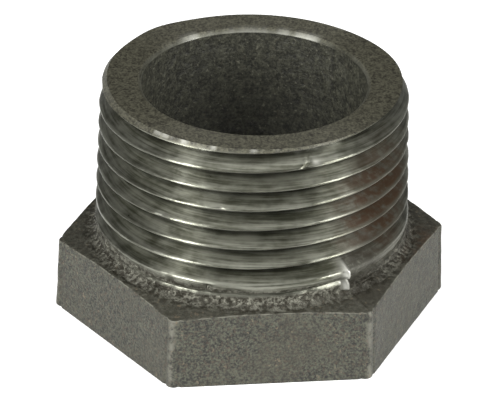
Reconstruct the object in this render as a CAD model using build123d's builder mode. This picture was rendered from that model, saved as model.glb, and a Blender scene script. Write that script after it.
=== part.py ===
from build123d import *
import os
from math import atan, ceil, cos, degrees, radians, tan

os.makedirs("parts", exist_ok=True)

# Hexagon reducing bushing, 1 inch by 3/4 inch: one iron casting, bored through, with a
# taper pipe thread on its spigot and its hexagonal end bored and countersunk for the
# smaller thread. The origin is the centre of the hexagonal end face, +Z runs along the
# axis to the end of the spigot, and a corner of the hexagon lies on +X. Lengths are in
# millimetres and angles in degrees.

inch = 25.4

# Head, as cast. It is widest at the open end and narrows by its draft.
across_flats = 36.5
head_height = 8.3
head_draft = 2.0
head_corner_radius = 0.8
top_circle_radius = 18.05  # the top face is flat inside this circle
top_corner_fall = 10.0  # slope of the top outside the circle, down to the corners

# Spigot, from the top of the head to its end face
spigot_length = 17.8
end_chamfer_width = 0.9
end_chamfer_height = 1.1
neck_cove = 0.5

# Flash where the mould halves met, on the neck in line with two opposite corners
flash_angle = -60.0
flash_width = 0.6
flash_proud = 0.45
flash_height = 1.3

# Bore. The female thread is tapped in it from the hexagonal end.
bore_radius = 11.85
bore_mouth_chamfer = 0.4
female_pitch_diameter = 25.117  # at the hexagonal end face
female_pitch = inch / 14
countersink_depth = 1.1
countersink_clearance = 0.2  # past the roots of the female thread

# Male thread: a V groove on a taper, with the crests left a little flat
male_pitch = inch / 11.5
male_pitch_diameter = 30.826  # at the spigot's end face
male_full_length = 14.2  # to where the groove starts to climb out
male_runout_length = 2.6
male_start_angle = 66.0  # where the groove meets the end face's plane
crest_flat = 0.2
cut_clearance = 0.08  # how far the groove's cut starts outside the crests
diameter_taper = 1 / 16
flank_angle = 30.0

total_height = head_height + spigot_length
radius_taper = diameter_taper / 2
flank_slope = tan(radians(flank_angle))
hexagon_half_angle = 30


def root_offset(pitch):
    """Distance to a sharp root from the pitch line, where a groove is half a pitch wide."""
    return pitch / 4 / flank_slope


def groove_cut(travel, cone_angle):
    """The male groove's cut, winding right-handed from where its full depth ends.

    It starts on the +X side and winds up over the axial distance travel, or down where
    travel is negative, and its radius grows at cone_angle along the way. The path has an
    edge for each turn, so no face of the cut wraps round the axis more than once.
    """
    helix = Helix(
        male_pitch,
        abs(travel),
        full_end_root_radius,
        center=(0, 0, full_end_height),
        direction=(0, 0, 1 if travel > 0 else -1),
        cone_angle=cone_angle,
        mode=Mode.PRIVATE,
    )
    edge = helix.edge() if travel > 0 else helix.edge().rotate(Axis.Z, 180)
    turns = ceil(abs(travel) / male_pitch)
    path = Wire([edge.trim(turn / turns, (turn + 1) / turns) for turn in range(turns)])
    cut_depth = male_depth + cut_clearance
    mouth_half = cut_depth * flank_slope
    with BuildPart() as cut:
        with BuildSketch(Plane.XZ):
            with BuildLine():
                Polyline(
                    (full_end_root_radius, full_end_height),
                    (full_end_root_radius + cut_depth, full_end_height + mouth_half),
                    (full_end_root_radius + cut_depth, full_end_height - mouth_half),
                    close=True,
                )
            make_face()
        sweep(path=path, is_frenet=True)
    return cut.part


# Male thread: a groove of full depth that leaves through the end face, and one that
# starts from the same place and climbs out of the metal on the way to the head
male_depth = (male_pitch - crest_flat) / 2 / flank_slope
end_root_radius = male_pitch_diameter / 2 - root_offset(male_pitch)
end_crest_radius = end_root_radius + male_depth
full_end_height = total_height - male_full_length
full_end_root_radius = end_root_radius + male_full_length * radius_taper
runout_slope = (male_depth + cut_clearance) / male_runout_length + radius_taper
full_groove = groove_cut(male_full_length + male_pitch, -degrees(atan(radius_taper)))
runout_groove = groove_cut(-male_runout_length, degrees(atan(runout_slope)))

with BuildPart() as hex_bushing:
    # Spigot: the crests' taper, a cove at the neck and a chamfer at the end
    neck_radius = end_crest_radius + spigot_length * radius_taper
    chamfer_radius = end_crest_radius + end_chamfer_height * radius_taper
    with BuildSketch(Plane.XZ):
        with BuildLine():
            Polyline(
                (0, head_height - neck_cove),
                (neck_radius, head_height - neck_cove),
                (neck_radius + neck_cove, head_height),
                (neck_radius, head_height + neck_cove),
                (chamfer_radius, total_height - end_chamfer_height),
                (chamfer_radius - end_chamfer_width, total_height),
                (0, total_height),
                close=True,
            )
        make_face()
    revolve(axis=Axis.Z)

    # Male thread
    groove_angle = male_start_angle - 360 * male_full_length / male_pitch
    add(full_groove, rotation=(0, 0, groove_angle), mode=Mode.SUBTRACT)
    add(runout_groove, rotation=(0, 0, groove_angle), mode=Mode.SUBTRACT)

    # Flash: two ribs on the neck
    with BuildSketch(Plane.XY.offset(head_height - neck_cove)):
        with PolarLocations(neck_radius, 2, start_angle=flash_angle):
            Rectangle(2 * flash_proud, flash_width)
    extrude(amount=neck_cove + flash_height)

    # Head: a drafted hexagon, its top cut to a shallow cone outside the circle
    with BuildSketch():
        RegularPolygon(radius=across_flats / 2, side_count=6, major_radius=False)
        fillet(vertices(), radius=head_corner_radius)
    extrude(amount=head_height, taper=head_draft)
    corner_reach = across_flats / 2 / cos(radians(hexagon_half_angle))
    corner_drop = (corner_reach - top_circle_radius) * tan(radians(top_corner_fall))
    with BuildSketch(Plane.XZ):
        with BuildLine():
            Polyline(
                (top_circle_radius, head_height),
                (corner_reach, head_height),
                (corner_reach, head_height - corner_drop),
                close=True,
            )
        make_face()
    revolve(axis=Axis.Z, mode=Mode.SUBTRACT)

    # Bore, with its countersink at the hexagonal end and its chamfer at the other
    female_root_radius = female_pitch_diameter / 2 + root_offset(female_pitch)
    countersink_radius = female_root_radius + countersink_clearance
    with BuildSketch(Plane.XZ):
        with BuildLine():
            Polyline(
                (0, 0),
                (countersink_radius, 0),
                (bore_radius, countersink_depth),
                (bore_radius, total_height - bore_mouth_chamfer),
                (bore_radius + bore_mouth_chamfer, total_height),
                (0, total_height),
                close=True,
            )
        make_face()
    revolve(axis=Axis.Z, mode=Mode.SUBTRACT)

hex_bushing.part.label = "hex_bushing"
export_step(hex_bushing.part, "parts/hex_bushing.step")
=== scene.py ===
import bmesh
import bpy
import math
import numpy as np
from mathutils import Matrix, Vector, noise


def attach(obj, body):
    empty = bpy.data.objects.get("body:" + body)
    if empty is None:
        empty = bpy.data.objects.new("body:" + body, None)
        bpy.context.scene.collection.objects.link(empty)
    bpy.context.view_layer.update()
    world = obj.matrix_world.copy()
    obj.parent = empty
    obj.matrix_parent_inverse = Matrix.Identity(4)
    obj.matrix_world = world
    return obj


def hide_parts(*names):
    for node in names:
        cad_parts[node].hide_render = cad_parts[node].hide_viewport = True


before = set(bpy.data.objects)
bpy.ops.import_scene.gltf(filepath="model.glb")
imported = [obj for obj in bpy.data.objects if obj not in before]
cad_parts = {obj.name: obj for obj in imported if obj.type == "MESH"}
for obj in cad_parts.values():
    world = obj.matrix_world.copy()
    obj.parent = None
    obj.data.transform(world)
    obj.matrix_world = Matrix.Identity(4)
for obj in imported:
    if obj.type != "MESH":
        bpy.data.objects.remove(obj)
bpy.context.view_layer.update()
mm = 0.001
inch = 25.4

# sizes are in millimetres, from the hexagonal end's face at z = 0, and angles in degrees
casting = {
    "height": 26.1,
    "acrossFlats": 36.5,
    "headHeight": 8.3,
    "headDraft": 2.0,            # narrowing towards the thread
    "headCorner": 0.8,
    "edgeRound": 0.13,           # the softened edges of the head
    "topCircle": 18.05,          # outside it the head's top falls away
    "topFall": 10.0,
    "neckCove": 0.5,
    "filletRise": 0.22,          # sand-rough fillet at the neck's foot
    "filletReach": 0.45,
    "endChamferWidth": 0.9,
    "endChamferHeight": 1.1,
    "bore": 11.85,
    "boreMouth": 0.4,
    "countersink": 13.544,
    "countersinkDepth": 1.1,
    "columnStep": 1.0,           # between columns of the mesh
    "cornerColumns": (0.45, 0.8, 1.15, 1.5),   # closer ones, on both sides of each corner
    "cornerClear": 1.7,
    "sharpAngle": 36,
}
endZ, headZ = casting["height"], casting["headHeight"]
threadLow = headZ + casting["neckCove"]
sideTop = headZ - 0.3            # the rim of the head's top follows its sides at this height
topFall = math.tan(math.radians(casting["topFall"]))


def xy(angle, radius):
    a = math.radians(angle)
    return radius * math.cos(a), radius * math.sin(a)


def around(angle, middle):
    # degrees from the middle, between -180 and 180
    return (angle - middle + 180) % 360 - 180


def smooth(t):
    t = min(1, max(0, t))
    return t * t * (3 - 2 * t)


def bell(away, width):
    return math.exp(-(away / width) ** 2)


def softAboveZero(value, width):
    # value where it is positive, 0 where it is negative, rounded where they meet
    if abs(value) >= width:
        return max(0, value)
    return (value + width) ** 2 / (4 * width)


def uneven(x, y, z, size, pattern=0.0):
    # noise about 0; each pattern is another stretch of it
    p = Vector((x / size + pattern, y / size - pattern, z / size + 2 * pattern))
    return noise.fractal(p, 0.9, 2.1, 3, noise_basis="PERLIN_ORIGINAL")


def castLump(x, y, z, depth, size, pattern=0.0):
    # from 0 to depth, into the metal
    return depth * min(1, max(0, 0.5 + 0.62 * uneven(x, y, z, size, pattern)))


def columnAngles():
    # even steps, and closer ones round each corner of the hexagon
    angles = list(np.arange(0, 360, casting["columnStep"]))
    for corner in range(0, 360, 60):
        angles = [a for a in angles if abs(around(a, corner)) > casting["cornerClear"] or a == corner]
        angles += [(corner + side * off) % 360 for off in casting["cornerColumns"] for side in (-1, 1)]
    return sorted(round(float(a), 4) for a in angles)


threads = {
    "narrowing": 1 / 32,         # of both threads, on the radius
    "flankAngle": 30,
    "rootRound": 0.05,           # softens the bottom of the grooves
    "rootLift": 0.03,
    "endGap": 0.05,              # rows closer than this to an end fall on its ring
}
narrowing = threads["narrowing"]
flank = math.tan(math.radians(threads["flankAngle"]))


def groovePart(deepest, z, middle):
    # depth at z of a groove with straight flanks and a softened bottom
    return deepest - math.hypot(abs(z - middle) / flank, threads["rootRound"]) + threads["rootLift"]


maleThread = {
    "pitch": inch / 11.5,
    "crestAtEnd": 16.197,
    "crestFlat": 0.2,
    "crestRound": 0.16,
    "fullLength": 14.2,
    "runout": 2.9,
    "startAngle": 66.0,          # where a groove's middle leaves through the end face
    "rowsAcross": (0, 0.06, 0.36, 0.66, 0.85, 0.96, 1.04, 1.1044),   # from a groove's middle
    "castCrests": 2.5,           # height above the head up to which the crests are as cast
}
neck = maleThread["crestAtEnd"] + (endZ - headZ) * narrowing    # radius of the crests at the head
foot = neck + casting["neckCove"]


def maleDepth(angle, z):
    # depth of the outside groove below the crest
    m = maleThread
    full = (m["pitch"] - m["crestFlat"]) / 2 / flank
    start = endZ + (angle - m["startAngle"]) / 360 * m["pitch"]
    middle = start - round((start - z) / m["pitch"]) * m["pitch"]
    fade = (endZ - m["fullLength"] - middle) / m["runout"]
    deepest = full * min(1, max(0, 1 - fade))
    return softAboveZero(groovePart(deepest, z, middle), m["crestRound"])


femaleThread = {
    "pitch": inch / 14,
    "root": 13.344,
    "fullHeight": 9.8,
    "runout": 2.4,
    "top": 13.2,
    "startAngle": 20.0,
    "rowsAcross": (0, 0.06, 0.3, 0.6, 0.84, 0.907),
}


def femaleDepth(angle, z):
    # depth of the inside groove beyond the bore
    f = femaleThread
    start = (angle - f["startAngle"]) / 360 * f["pitch"]
    middle = start + round((z - start) / f["pitch"]) * f["pitch"]
    fade = (middle - f["fullHeight"]) / f["runout"]
    deepest = (f["root"] - z * narrowing - casting["bore"]) * min(1, max(0, 1 - fade))
    return max(0, groovePart(deepest, z, middle))


# bareAndHighlight holds bare metal of knocks, chips and the parting rib, and painted highlights on the
# head's edges and the bore's edge
zoneNames = ("groove", "machined", "inBore", "headTop", "endFace", "bareAndHighlight")


class Skin:
    # vertices and faces of one closed wall, with what the finish needs at each vertex
    def __init__(self, angles):
        self.angles = angles
        self.verts, self.faces, self.zones = [], [], []

    def point(self, angle, radius, z, zones):
        self.verts.append((*xy(angle, radius), z))
        self.zones.append([zones.get(name, 0) for name in zoneNames])
        return len(self.verts) - 1

    def ring(self, place, *given):
        return [self.point(a, *place(a, *given)) for a in self.angles]

    def join(self, left, right, flip=False):
        # two columns of the same rows; repeated points close up into triangles
        for (a, b), (c, d) in zip(zip(left, left[1:]), zip(right, right[1:])):
            loop = []
            for i in (a, c, d, b):
                if i not in loop:
                    loop.append(i)
            if len(loop) > 2:
                self.faces.append(loop[::-1] if flip else loop)

    def strip(self, *rings):
        for low, high in zip(rings, rings[1:]):
            for i in range(len(low)):
                j = (i + 1) % len(low)
                self.join([low[i], high[i]], [low[j], high[j]])

    def helix(self, thread, base, low, high, snap, lowRing, highRing, place, flip=False):
        # columns whose rows climb right-handed with the grooves, between the rings at both ends
        pitch, side = thread["pitch"], thread["rowsAcross"]
        across = sorted(set([round(s, 5) for s in side] + [round(-s, 5) for s in side[1:-1]]))
        turns = range(int((low - base) / pitch) - 3, int((high - base) / pitch) + 4)
        rows = np.array([turn * pitch + row for turn in turns for row in across]) + base
        columns = []
        for angle, lowest, highest in zip(self.angles, lowRing, highRing):
            heights = rows + (angle - thread["startAngle"]) / 360 * pitch
            heights[np.argmin(abs(heights - snap))] = snap
            column = []
            for z in heights:
                if z <= low + threads["endGap"]:
                    column.append(lowest)
                elif z >= high - threads["endGap"]:
                    column.append(highest)
                else:
                    column.append(self.point(angle, *place(angle, float(z))))
            columns.append(column)
        for left, right in zip(columns, columns[1:]):
            self.join(left, right, flip)
        # past the last column each row meets the one a turn above it
        perTurn = len(across)
        self.join(columns[-1], columns[0][perTurn:] + [highRing[0]] * perTurn, flip)


roughness = {
    "lumps": 0.08,               # depth of the sand's lumps on the head's sides
    "lumpSize": 1.7,
    "swell": 0.05,               # slow unevenness of the head's sides
    "swellSize": 8.0,
    "topLumps": 0.088,
    "topLumpSize": 1.36,
    "filletLumps": 0.3,
    "filletLumpSize": 0.9,
    "neckLumps": 0.3,
    "neckLumpSize": 1.19,
    "crestWear": 0.05,
    "crestWearSize": 2.3,
    "endLumps": 0.03,
    "endLumpSize": 2.5,
    "boreLumps": 0.16,
    "boreLumpSize": 1.3,
    "boreSwell": 0.05,
    "boreSwellSize": 5.0,
    "cornerHighlight": 0.75,          # brightness of the painted highlight along the hexagon's corners
    "cornerReach": 0.9,
}
partingRib = {
    # left on the neck at two opposite corners where the mould parted, blunt on one side
    "angle": -60.0,
    "radius": 16.8,              # where its width is measured
    "proud": 0.5,
    "width": 0.34,
    "bluntSide": 1.5,            # shares of the width
    "steepSide": 0.45,
    "top": 12.0,
    "oppositeLower": 0.8,        # how much lower the other rib ends
    "fadeHeight": 0.9,
    "footHeight": 8.4,           # its size here is that at the neck's foot
    "onHead": 0.16,              # a low ridge goes on over the head's top
    "onHeadWidth": 0.28,
}


def ribAt(angle, z):
    rib = partingRib
    rise = 0
    for side in (0, 180):
        arc = math.radians(around(angle, rib["angle"] + side)) * rib["radius"]
        ragged = 0.8 + 0.4 * uneven(3.1, side, z, 0.9)
        top = rib["top"] if side == 0 else rib["top"] - rib["oppositeLower"]
        width = rib["width"] * (rib["bluntSide"] if arc < 0 else rib["steepSide"])
        rise += rib["proud"] * ragged * bell(arc, width) * smooth((top - z) / rib["fadeHeight"])
    return rise


def hexRadius(angle, z):
    # distance from the axis to the drafted hexagon, with round corners
    half = casting["acrossFlats"] / 2 - z * math.tan(math.radians(casting["headDraft"]))
    corner = casting["headCorner"]
    off = math.radians(min(angle % 60, 60 - angle % 60))   # from the nearest corner
    flat = half / math.cos(math.radians(30) - off)
    centre = (half - corner) / math.cos(math.radians(30))
    side = centre * math.sin(off)
    if side >= corner:
        return flat
    return min(flat, centre * math.cos(off) + math.sqrt(corner ** 2 - side ** 2))


def headSide(angle, z):
    radius = hexRadius(angle, z)
    x, y = xy(angle, radius)
    into = castLump(x, y, z, roughness["lumps"], roughness["lumpSize"])
    into += castLump(x, y, z, roughness["swell"], roughness["swellSize"], 9.0)
    return radius - into


def headTop(angle, radius):
    # height of the head's upper face, with its shallow fall outside the circle
    x, y = xy(angle, radius)
    z = headZ - max(0, radius - casting["topCircle"]) * topFall
    off = abs((angle - partingRib["angle"] + 90) % 180 - 90)
    ridge = partingRib["onHead"] * bell(math.radians(off) * radius, partingRib["onHeadWidth"])
    fillet = math.exp(-max(0, radius - foot) / casting["filletReach"])
    rough = castLump(x, y, 1, roughness["filletLumps"], roughness["filletLumpSize"], 8.0)
    z += fillet * (casting["filletRise"] - rough)
    return z - castLump(x, y, 0, roughness["topLumps"], roughness["topLumpSize"], 5.0) + ridge


def underPoint(angle, share):
    # the underside, from the countersink outwards
    inner = casting["countersink"]
    rim = hexRadius(angle, 0) - casting["edgeRound"]
    return inner + (rim - inner) * share, 0.0, {"machined": 0.6}


def lowerEdgePoint(angle):
    inset = casting["edgeRound"] * 0.3
    return headSide(angle, 0.1) - inset, inset, {"machined": 0.1}


def sidePoint(angle, share):
    edge = casting["edgeRound"]
    rim = hexRadius(angle, headZ)
    top = headZ - max(0, rim - casting["topCircle"]) * topFall - 0.04
    z = edge + (top - 2 * edge) * share
    # a painted highlight along each corner of the hexagon
    worn = roughness["cornerHighlight"] * bell((angle + 30) % 60 - 30, roughness["cornerReach"])
    return headSide(angle, z), z, {"bareAndHighlight": worn}


def upperEdgePoint(angle):
    edge = casting["edgeRound"]
    rim = headSide(angle, sideTop) - edge * 0.25
    # the upper edge gets a painted highlight all round
    return rim, headTop(angle, rim) - edge * 0.3, {"headTop": 0.5, "bareAndHighlight": 1}


def topPoint(angle, share, outer):
    # outer rows lie between the circle and the edge, inner ones between the neck and the circle
    rim = headSide(angle, sideTop) - casting["edgeRound"] * 0.8
    circle = min(casting["topCircle"], rim - 0.12)
    near, far = (circle, rim) if outer else (foot, circle)
    radius = near + (far - near) * share
    return radius, headTop(angle, radius), {"headTop": 1}


def neckPoint(angle):
    radius = neck + ribAt(angle, partingRib["footHeight"])
    x, y = xy(angle, radius)
    radius -= castLump(x, y, threadLow, roughness["neckLumps"], roughness["neckLumpSize"])
    return radius, threadLow, {"headTop": 0.8}


endFace = {
    "outOfRound": 0.06,
    "longWay": 100,              # the angle at which it reaches furthest
    "swells": ((125, 0.42, 12), (12, 0.32, 26), (152, 0.30, 22)),   # angle, size and reach
    "chips": (244, 0.5, 24),     # small bright chips on the outer edge: angle, brightness, reach
    "mouthHighlightBroad": (85, 0.35, 60),                         # the bore's edge, with a painted highlight broad on one side
    "mouthGlints": ((117, 0.75, 9), (55, 0.7, 14)),      # and brighter in two places
    "mouthHighlight": 0.6,
}


def rimRadius(angle):
    # the end face is a little out of round, and swells out in a few places
    chamferFoot = maleThread["crestAtEnd"] + casting["endChamferHeight"] * narrowing
    wide = sum(size * bell(abs(around(angle, at)), reach) for at, size, reach in endFace["swells"])
    oval = endFace["outOfRound"] * math.cos(math.radians(angle - endFace["longWay"]))
    return chamferFoot - casting["endChamferWidth"] + oval + wide


def rimChip(angle):
    at, bright, reach = endFace["chips"]
    x, y = xy(angle, casting["bore"])
    there = smooth(1.5 - abs(around(angle, at)) / reach)
    return bright * there * smooth(2.6 * uneven(x, y, 9, 1.1, 4.0) - 0.35)


# painted highlight along the bore's edge
def mouthHighlight(angle):
    at, bright, reach = endFace["mouthHighlightBroad"]
    x, y = xy(angle, casting["bore"])
    far = bright * smooth(1.25 - abs(around(angle, at)) / reach)
    far += sum(shine * bell(angle - there, width) for there, shine, width in endFace["mouthGlints"])
    return endFace["mouthHighlight"] * min(1, far) * smooth(0.5 + 1.6 * uneven(x, y, 3, 2.2, 6.0))


def rimPoint(angle):
    return rimRadius(angle), endZ, {"machined": 1, "endFace": 0.9, "bareAndHighlight": rimChip(angle)}


def endPoint(angle, share):
    # the end face, from its rim inwards
    inner = casting["bore"] + casting["boreMouth"]
    rim = rimRadius(angle) - 0.05
    radius = rim + (inner - rim) * share
    x, y = xy(angle, radius)
    # the inner ring takes part of the painted highlight of the bore's edge
    bright = 0.4 * mouthHighlight(angle) if share == 1 else 0
    lump = castLump(x, y, 7, roughness["endLumps"], roughness["endLumpSize"]) if share > 0 else 0
    return radius, endZ - lump, {"machined": 1, "endFace": 1 - 0.6 * bright, "bareAndHighlight": bright}


nicks = (
    # small knocks on the threads: angle, height, size, depth, and how bright they are
    (282.6, 24.0, 0.34, 0.45, 0.0), (284.4, 24.35, 0.32, 0.45, 0.0), (286.6, 24.5, 0.4, 0.12, 1.0),
    (281.0, 25.3, 0.4, 0.12, 1.0), (289, 25.5, 0.6, 0.18, 0.8), (297, 25.4, 0.5, 0.2, 0.7),
    (247.5, 10.3, 0.32, 0.5, 0.0), (243, 25.3, 0.5, 0.12, 0.5), (312, 14.2, 0.6, 0.2, 0.4),
    (228, 16.9, 0.6, 0.15, 0.4), (251, 19.4, 0.4, 0.15, 0.3), (205, 20.1, 0.7, 0.2, 0.5),
    (20, 21.8, 0.7, 0.25, 0.5), (75, 18.2, 0.6, 0.22, 0.5), (110, 23.9, 0.6, 0.25, 0.5),
    (150, 15.3, 0.8, 0.2, 0.5), (345, 19.6, 0.6, 0.22, 0.4),
)


def nickAt(angle, radius, z):
    # depth of the knocks here, and how much bright metal they laid bare
    cut = bright = 0
    for at, height, size, depth, shine in nicks:
        off = around(angle, at)
        if abs(off) < 8 and abs(z - height) < 2:
            arc = math.radians(off) * radius
            here = depth * math.exp(-((arc / size) ** 2 + ((z - height) / (size * 0.8)) ** 2))
            cut += here
            bright += here / depth * shine
    return cut, min(1, bright)


def outsidePoint(angle, z):
    crest = maleThread["crestAtEnd"] + (endZ - z) * narrowing
    depth = maleDepth(angle, z)
    x, y = xy(angle, crest)
    cast = smooth(headZ + maleThread["castCrests"] - z) * (1 - min(1, depth / 0.35))
    radius = crest - depth
    if depth < 0.25:
        worn = castLump(x, y, z, roughness["crestWear"], roughness["crestWearSize"], 2.0)
        radius -= worn * (1 - depth / 0.25)
    radius -= cast * castLump(x, y, z, roughness["neckLumps"], roughness["neckLumpSize"])
    rib = ribAt(angle, z)
    radius += rib
    # the chamfer takes off what stands outside its slope
    slope = rimRadius(angle) + (endZ - z) * (casting["endChamferWidth"] / casting["endChamferHeight"])
    chamfered = smooth((radius - slope + 0.1) / 0.15)
    radius = slope - softAboveZero(slope - radius, 0.08)
    nick, shine = nickAt(angle, radius, z)
    reached = 1 if depth < 0.6 else 0.3      # knocks hardly reach into the grooves
    chip = rimChip(angle) * chamfered * smooth((z - endZ + 0.45) / 0.3)
    bareAndHighlight = min(1, rib / 0.25 + reached * shine * 0.7 + chip)
    zones = {"groove": min(1, depth / 1.7), "machined": max(bareAndHighlight, 1 - cast), "headTop": 0.7 * cast,
             "endFace": 0.9 * chamfered, "bareAndHighlight": bareAndHighlight}
    return radius - reached * nick, z, zones


def boreLump(angle, z):
    x, y = xy(angle, casting["bore"])
    lump = castLump(x, y, z, roughness["boreLumps"], roughness["boreLumpSize"], 3.0)
    return lump + castLump(x, y, z, roughness["boreSwell"], roughness["boreSwellSize"], 4.0)


def mouthPoint(angle):
    # the bore's edge carries the painted highlight
    zones = {"machined": 1, "endFace": 0.4, "bareAndHighlight": mouthHighlight(angle)}
    return casting["bore"], endZ - casting["boreMouth"], zones


def borePoint(angle, z):
    # as cast, and rougher than the outside
    fade = smooth((endZ - casting["boreMouth"] - z) / 0.8 + 0.15)
    return casting["bore"] + boreLump(angle, z) * fade, z, {"inBore": 1}


def insidePoint(angle, z):
    depth = femaleDepth(angle, z)
    bore, sink = casting["bore"], casting["countersink"]
    cast = 1 - min(1, depth / 0.2)
    radius = bore + depth + boreLump(angle, z) * cast * smooth((z - casting["countersinkDepth"]) / 2)
    cone = sink - z * (sink - bore) / casting["countersinkDepth"]
    machined = 1 if cone > radius or depth > 0.1 else 0.2
    zones = {"groove": min(1, depth / 1.5), "machined": machined, "inBore": 1 - 0.6 * machined}
    return max(radius, cone), z, zones


def seatPoint(angle):
    return casting["countersink"], 0, {"machined": 1}


def buildCasting():
    skin = Skin(columnAngles())
    head = [skin.ring(underPoint, share) for share in (0, 0.15, 0.6, 1)]
    head += [skin.ring(lowerEdgePoint)]
    head += [skin.ring(sidePoint, share) for share in np.linspace(0, 1, 13)]
    head += [skin.ring(upperEdgePoint)]
    head += [skin.ring(topPoint, share, True) for share in (1, 0.72, 0.45, 0.2, 0)]
    head += [skin.ring(topPoint, share, False) for share in (0.75, 0.5, 0.25, 0)]
    neckRing = skin.ring(neckPoint)
    rimRing = skin.ring(rimPoint)
    chamferLow, insideTop = endZ - casting["endChamferHeight"], femaleThread["top"]
    skin.helix(maleThread, endZ, threadLow, endZ, chamferLow, neckRing, rimRing, outsidePoint)
    ends = [skin.ring(endPoint, share) for share in (0, 0.04, 0.28, 0.52, 0.76, 1)]
    bores = [skin.ring(mouthPoint)]
    boreTop = endZ - casting["boreMouth"] - 0.08
    bores += [skin.ring(borePoint, z) for z in np.linspace(boreTop, insideTop, 22)]
    seatRing = skin.ring(seatPoint)
    sinkTop = casting["countersinkDepth"]
    skin.helix(femaleThread, 0, 0, insideTop, sinkTop, seatRing, bores[-1], insidePoint, flip=True)
    skin.strip(*head, neckRing)
    skin.strip(rimRing, *ends, *bores)
    skin.strip(seatRing, head[0])
    return skin


skin = buildCasting()
mesh = bpy.data.meshes.new("hexBushing")
mesh.from_pydata([[v * mm for v in p] for p in skin.verts], [], skin.faces)
for name, values in zip(zoneNames, zip(*skin.zones)):
    zone = mesh.attributes.new(name, "FLOAT", "POINT")
    zone.data.foreach_set("value", np.array(values, np.float32))
bushing = bpy.data.objects.new("hexBushing", mesh)
bpy.context.collection.objects.link(bushing)
work = bmesh.new()
work.from_mesh(mesh)
bmesh.ops.remove_doubles(work, verts=work.verts, dist=0.002 * mm)
bmesh.ops.dissolve_degenerate(work, edges=work.edges, dist=0.001 * mm)
bmesh.ops.triangulate(work, faces=[face for face in work.faces if len(face.verts) > 4])
openEdges = sum(1 for edge in work.edges if len(edge.link_faces) != 2)
volume = work.calc_volume() / mm ** 3
work.to_mesh(mesh)
work.free()
mesh.shade_smooth()
mesh.set_sharp_from_angle(angle=math.radians(casting["sharpAngle"]))
mesh.calc_loop_triangles()
print("casting:", len(mesh.vertices), "points,", len(mesh.loop_triangles), "triangles,",
      openEdges, "open edges,", round(volume), "mm3")
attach(bushing, "root")
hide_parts("hex_bushing")


class Value:
    # one socket, so that shader maths reads as plain arithmetic
    def __init__(self, sheet, socket):
        self.sheet, self.socket = sheet, socket

    def math(self, operation, *values, clamp=False):
        settings = {"operation": operation, "use_clamp": clamp}
        return self.sheet.add("ShaderNodeMath", settings, dict(enumerate(values)))

    def __add__(self, other):
        return self.math("ADD", self, other)

    def __radd__(self, other):
        return self.math("ADD", other, self)

    def __sub__(self, other):
        return self.math("SUBTRACT", self, other)

    def __rsub__(self, other):
        return self.math("SUBTRACT", other, self)

    def __mul__(self, other):
        return self.math("MULTIPLY", self, other)

    def __rmul__(self, other):
        return self.math("MULTIPLY", other, self)

    def clamp(self):
        return self.math("ADD", self, 0, clamp=True)

    def larger(self, other):
        return self.math("MAXIMUM", self, other)


def rgba(colour):
    return (*colour, 1) if isinstance(colour, tuple) else colour


class Sheet:
    # the nodes of one material, or of the world
    def __init__(self, owner):
        owner.use_nodes = True
        self.tree = owner.node_tree
        self.tree.nodes.clear()

    def add(self, kind, settings, inputs, out=0):
        node = self.tree.nodes.new(kind)
        for name, value in settings.items():
            setattr(node, name, value)
        for name, value in inputs.items():
            if isinstance(value, Value):
                self.tree.links.new(value.socket, node.inputs[name])
            else:
                node.inputs[name].default_value = value
        return Value(self, node.outputs[out]) if node.outputs else None

    def zone(self, name):
        return self.add("ShaderNodeAttribute", {"attribute_name": name}, {}, out="Fac")

    def noise(self, vector, scale, detail, rough):
        inputs = {"Vector": vector, "Scale": scale, "Detail": detail, "Roughness": rough}
        return self.add("ShaderNodeTexNoise", {}, inputs)

    def step(self, value, low, high):
        # 0 below low, 1 above high, smooth between
        return self.add("ShaderNodeMapRange", {"interpolation_type": "SMOOTHSTEP", "clamp": True},
                        {"Value": value, "From Min": low, "From Max": high, "To Min": 0.0, "To Max": 1.0})

    def mix(self, share, a, b):
        return self.add("ShaderNodeMix", {"data_type": "RGBA", "clamp_factor": True},
                        {0: share, 6: rgba(a), 7: rgba(b)}, out=2)

    def scaled(self, vector, x, y, z):
        return self.add("ShaderNodeVectorMath", {"operation": "MULTIPLY"}, {0: vector, 1: (x, y, z)})


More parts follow.
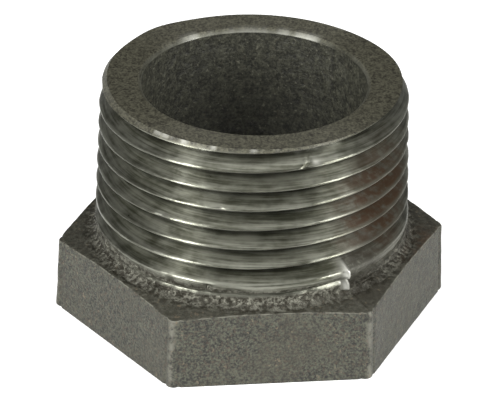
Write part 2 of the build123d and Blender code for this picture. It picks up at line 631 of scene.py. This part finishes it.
castingLook = {
    "castDark": (0.006, 0.006, 0.0045),
    "castLight": (0.069, 0.071, 0.050),
    "castWarm": (0.044, 0.041, 0.027),
    "castBrown": (0.055, 0.038, 0.024),
    "headTopShadeAndDirt": (0.025, 0.0235, 0.0155),
    "speck": (0.125, 0.100, 0.066),
    "neckDark": (0.027, 0.024, 0.016),
    "neckLightAndGlint": (0.165, 0.162, 0.130),
    # colour of the painted highlight on the head's corners and upper edge
    "edgeHighlight": (0.135, 0.132, 0.105),
    "boreDark": (0.013, 0.013, 0.009),
    "boreLight": (0.068, 0.068, 0.047),
    "boreSparkle": (0.16, 0.155, 0.115),
    "steel": (0.265, 0.268, 0.222),
    "steelDark": (0.069, 0.070, 0.050),
    "bareSteelAndHighlight": (0.50, 0.50, 0.45),
    "endFace": (0.108, 0.104, 0.072),
    "endDark": (0.022, 0.020, 0.0135),
    "rootShadeAndDirt": (0.016, 0.016, 0.011),
    "rust": (0.058, 0.029, 0.012),
    "stain": (0.052, 0.044, 0.030),
    "fine": (4700, 2, 0.6),                # noises: scale, detail and roughness
    "grain": (3600, 4, 0.7),
    "brownGrain": (3300, 3, 0.6),
    "sparkle": (2600, 2, 0.4),
    "neckGrain": (2100, 3, 0.6),
    "specks": (1900, 2, 0.5),
    "coarse": (1300, 3, 0.6),
    "broad": (190, 3, 0.5),
    "turning": (150, 150, 6500),           # the cutting tool's rings: fast along the axis, slow round it
    "patches": (420, 420, 900),
    "rustSpot": ((12.6, -10.3, 17.0), 9.5),          # where the rust is thickest, and its reach
    "headRustSpot": ((18.0, -6.0, 8.3), 7.0),
    # painted shade and a stain beside the parting rib
    "burrShadeAndStainSpot": ((10.4, -13.6, 10.0), 4.8),
    "neckRise": 0.5,                       # above the head, where the bare neck begins
    "neckSpread": (17.2, 18.2),            # how far from the axis it runs out over the head's top
    "brownAmount": 0.6,
    "warmAmount": 0.3,
    "sparkleAmount": 0.5,
    "headTopShadeAndDirtAmount": 0.62,
    "headRustAmount": 0.6,
    "neckAmount": 0.75,
    "speckAmount": 0.6,
    "stainAmount": 0.75,
    "rustAmount": 0.85,
    "burrShadeAndStainAmount": 0.8,
    "rootShadeAndDirtAmount": 0.7,
    "castBump": (0.9, 0.00016),            # strength, and depth in metres
    "turnedBump": (0.5, 0.00006),
}


def castingFinish():
    material = bpy.data.materials.new("castIron")
    s, look = Sheet(material), castingLook
    place = s.add("ShaderNodeTexCoord", {}, {}, out="Object")
    up = s.add("ShaderNodeSeparateXYZ", {}, {0: place}, out=2)
    fromAxis = s.add("ShaderNodeVectorMath", {"operation": "LENGTH"}, {0: s.scaled(place, 1, 1, 0)}, out=1)
    groove, machined, inBore, headTop, endFace, bareAndHighlight = (s.zone(name) for name in zoneNames)
    fine, grain = s.noise(place, *look["fine"]), s.noise(place, *look["grain"])
    coarse, broad = s.noise(place, *look["coarse"]), s.noise(place, *look["broad"])
    turning = s.noise(s.scaled(place, *look["turning"]), 1, 3, 0.6)
    patches = s.noise(s.scaled(place, *look["patches"]), 1, 3, 0.6)

    def near(spot):
        centre, reach = look[spot]
        away = s.add("ShaderNodeVectorMath", {"operation": "DISTANCE"},
                     {0: place, 1: tuple(v * mm for v in centre)}, out=1)
        return 1 - s.step(away, reach * 0.35 * mm, reach * mm)

    aroundRust = near("rustSpot")
    rustOnThread = aroundRust * s.step(coarse * 0.5 + broad * 0.5, 0.40, 0.56)
    rustOnHead = near("headRustSpot") * headTop * s.step(coarse, 0.35, 0.6)
    # beside the parting rib the skin is darkened: painted shade, and a stain
    burrShadeAndStain = near("burrShadeAndStainSpot") * s.step(grain * 0.5 + coarse * 0.5, 0.3, 0.55) * (1 - bareAndHighlight)
    burrShadeAndStain = burrShadeAndStain * look["burrShadeAndStainAmount"]
    neck = s.step(up, headZ * mm, (headZ + look["neckRise"]) * mm) * (1 - machined) * (1 - inBore)
    spreadIn, spreadOut = look["neckSpread"]
    neck = neck.larger(headTop * (1 - s.step(fromAxis, spreadIn * mm, spreadOut * mm)) * 0.6)

    # sand-cast skin of the head and the bore
    castGrain = s.step(fine * 0.35 + grain * 0.5 + coarse * 0.15, 0.40, 0.61)
    cast = s.mix(castGrain, look["castDark"], look["castLight"])
    brownGrain = s.step(s.noise(s.scaled(place, 1, -1, 1), *look["brownGrain"]), 0.52, 0.64)
    cast = s.mix(brownGrain * look["brownAmount"], cast, look["castBrown"])
    cast = s.mix(s.step(broad, 0.42, 0.66) * look["warmAmount"], cast, look["castWarm"])
    bore = s.mix(s.step(grain * 0.6 + coarse * 0.4, 0.38, 0.66), look["boreDark"], look["boreLight"])
    # the sparkle specks are painted glints in the bore
    sparkle = s.step(s.noise(place, *look["sparkle"]), 0.66, 0.72)
    bore = s.mix(sparkle * look["sparkleAmount"], bore, look["boreSparkle"])
    cast = s.mix(inBore, cast, bore)
    # the head's top is darkened: painted shade under the neck, and dirt
    cast = s.mix(headTop * look["headTopShadeAndDirtAmount"], cast, look["headTopShadeAndDirt"])
    cast = s.mix(rustOnHead * look["headRustAmount"], cast, look["rust"])
    # the neck's pale grain is partly painted glints on its rough lumps
    neckGrain = s.step(s.noise(place, *look["neckGrain"]), 0.40, 0.66)
    neckColour = s.mix(neckGrain, look["neckDark"], look["neckLightAndGlint"])
    cast = s.mix((neck * look["neckAmount"] + headTop * 0.2).clamp(), cast, neckColour)
    # painted highlight on the head's corners and upper edge
    cast = s.mix(bareAndHighlight * s.step(coarse, 0.38, 0.6), cast, look["edgeHighlight"])
    cast = s.mix(burrShadeAndStain, cast, look["neckDark"])
    specks = s.step(s.noise(place, *look["specks"]), 0.66, 0.70)
    cast = s.mix(specks * (1 - inBore * 0.8) * (1 - neck) * look["speckAmount"], cast, look["speck"])
    strength, depth = look["castBump"]
    lumps = grain * 0.45 + coarse * (0.9 + inBore * 0.8) + neckGrain * neck * 0.9
    castBump = s.add("ShaderNodeBump", {}, {"Strength": strength, "Distance": depth, "Height": lumps})
    castShader = s.add("ShaderNodeBsdfPrincipled", {}, {
        "Base Color": cast,
        "Metallic": (0.15 + neck * 0.45).clamp(),
        "Roughness": (0.60 + (grain - 0.5) * 0.3 - neck * 0.18).clamp(),
        "Specular IOR Level": 0.45,
        "Normal": castBump,
    })

    # turned skin of the thread and the end face
    steel = s.mix(s.step(turning * 0.6 + patches * 0.4, 0.34, 0.66), look["steelDark"], look["steel"])
    steel = s.mix(aroundRust * look["stainAmount"], steel, look["stain"])
    steel = s.mix(rustOnThread * s.step(groove, 0.02, 0.25) * look["rustAmount"], steel, look["rust"])
    steel = s.mix(burrShadeAndStain, steel, look["neckDark"])
    endGrain = s.step(coarse * 0.25 + grain * 0.4 + fine * 0.35, 0.39, 0.61)
    turned = s.mix(endFace, steel, s.mix(endGrain, look["endDark"], look["endFace"]))
    # the bottoms of the grooves are darkened: painted shade, and dirt
    turned = s.mix(s.step(groove, 0.62, 1.0) * look["rootShadeAndDirtAmount"], turned, look["rootShadeAndDirt"])
    # bare metal, and the painted highlight on the bore's edge
    turned = s.mix(bareAndHighlight, turned, look["bareSteelAndHighlight"])
    strength, depth = look["turnedBump"]
    rings = turning * (1 - endFace) + grain * 0.5 + coarse * 0.6
    turnedBump = s.add("ShaderNodeBump", {}, {"Strength": strength, "Distance": depth, "Height": rings})
    turnedShader = s.add("ShaderNodeBsdfPrincipled", {}, {
        "Base Color": turned,
        "Metallic": (0.85 - endFace * 0.55 - aroundRust * 0.3 - burrShadeAndStain * 0.5).clamp(),
        "Roughness": (0.35 + (patches - 0.5) * 0.3 + endFace * 0.2 + aroundRust * 0.2).clamp(),
        "Anisotropic": 0.7,
        "Anisotropic Rotation": 0.25,
        "Normal": turnedBump,
    })
    whichSkin = (machined * (1 - inBore)).clamp()
    either = s.add("ShaderNodeMixShader", {}, {0: whichSkin, 1: castShader, 2: turnedShader})
    s.add("ShaderNodeOutputMaterial", {}, {"Surface": either})
    print("finish:", len(s.tree.nodes), "nodes")
    return material


bushing.data.materials.append(castingFinish())

studio = {
    "cameraAzimuth": 262.62,     # where the camera stands round the axis
    "elevation": 29.15,
    "roll": 1.31,
    "distance": 420.0,
    "aside": -0.196,
    "aimHeight": 11.72,
    "lens": 284.4,
    "sensor": 36,
    "floorSize": 6,              # metres
    "floorHeight": -0.02,        # just clear of the face that rests on it
    "floorWhite": (0.9, 0.9, 0.9, 1),
    "floorGlow": 0.45,
    "room": 0.15,                # what the world gives to all but the camera
    "lightsAim": 12,             # height that the lights face
    "lights": {
        # azimuth, elevation, distance, width and height, power in watts
        "leftWindow": (213, 20, 500, (90, 360), 3.6),
        "rightWindow": (324, 20, 500, (64, 360), 3.0),
        "topPanel": (262, 80, 600, (500, 500), 1.5),
    },
}
white = (1, 1, 1, 1)


def setCamera():
    a, e, r = (math.radians(studio[k]) for k in ("cameraAzimuth", "elevation", "roll"))
    level = Vector((math.cos(a), math.sin(a), 0))
    back = level * math.cos(e) + Vector((0, 0, math.sin(e)))
    right = Vector((-math.sin(a), math.cos(a), 0))
    up = back.cross(right)
    turnedRight = right * math.cos(r) + up * math.sin(r)
    turnedUp = up * math.cos(r) - right * math.sin(r)
    aim = right * studio["aside"] + Vector((0, 0, studio["aimHeight"]))
    camera = bpy.data.objects.new("camera", bpy.data.cameras.new("camera"))
    bpy.context.collection.objects.link(camera)
    camera.data.sensor_width, camera.data.lens = studio["sensor"], studio["lens"]
    camera.data.clip_start, camera.data.clip_end = 0.01, 20
    turn = Matrix((turnedRight, turnedUp, back)).transposed().to_4x4()
    camera.matrix_world = Matrix.Translation((aim + back * studio["distance"]) * mm) @ turn
    bpy.context.scene.camera = camera
    print("camera:", studio["distance"], "mm away")


def softLight(name, azimuth, elevation, distance, size, power):
    a, e = math.radians(azimuth), math.radians(elevation)
    way = Vector((math.cos(a) * math.cos(e), math.sin(a) * math.cos(e), math.sin(e)))
    lamp = bpy.data.lights.new(name, "AREA")
    lamp.shape, lamp.size, lamp.size_y = "RECTANGLE", size[0] * mm, size[1] * mm
    lamp.energy = power
    light = bpy.data.objects.new(name, lamp)
    bpy.context.collection.objects.link(light)
    light.location = way * distance * mm + Vector((0, 0, studio["lightsAim"] * mm))
    light.rotation_mode = "QUATERNION"
    light.rotation_quaternion = way.to_track_quat("Z", "Y")


def setFloor():
    bpy.ops.mesh.primitive_plane_add(size=studio["floorSize"], location=(0, 0, studio["floorHeight"] * mm))
    floor = bpy.context.object
    floor.name = "floor"
    material = bpy.data.materials.new("paleFloor")
    s = Sheet(material)
    lit = s.add("ShaderNodeBsdfPrincipled", {}, {
        "Base Color": studio["floorWhite"],
        "Roughness": 1.0,
        "Specular IOR Level": 0.0,
        "Emission Color": white,
        "Emission Strength": studio["floorGlow"],
    })
    s.add("ShaderNodeOutputMaterial", {}, {"Surface": lit})
    floor.data.materials.append(material)


def setWorld():
    # white behind the floor for the camera, dim for everything else
    world = bpy.data.worlds.new("studio")
    bpy.context.scene.world = world
    s = Sheet(world)
    seen = s.add("ShaderNodeLightPath", {}, {}, out="Is Camera Ray")
    room = s.add("ShaderNodeBackground", {}, {"Strength": studio["room"]})
    backdrop = s.add("ShaderNodeBackground", {}, {"Color": white})
    either = s.add("ShaderNodeMixShader", {}, {0: seen, 1: room, 2: backdrop})
    s.add("ShaderNodeOutputWorld", {}, {"Surface": either})


setCamera()
setFloor()
setWorld()
for name, values in studio["lights"].items():
    softLight(name, *values)
print("studio: floor, world and", len(studio["lights"]), "lights")
bpy.context.scene.view_settings.view_transform = "Standard"
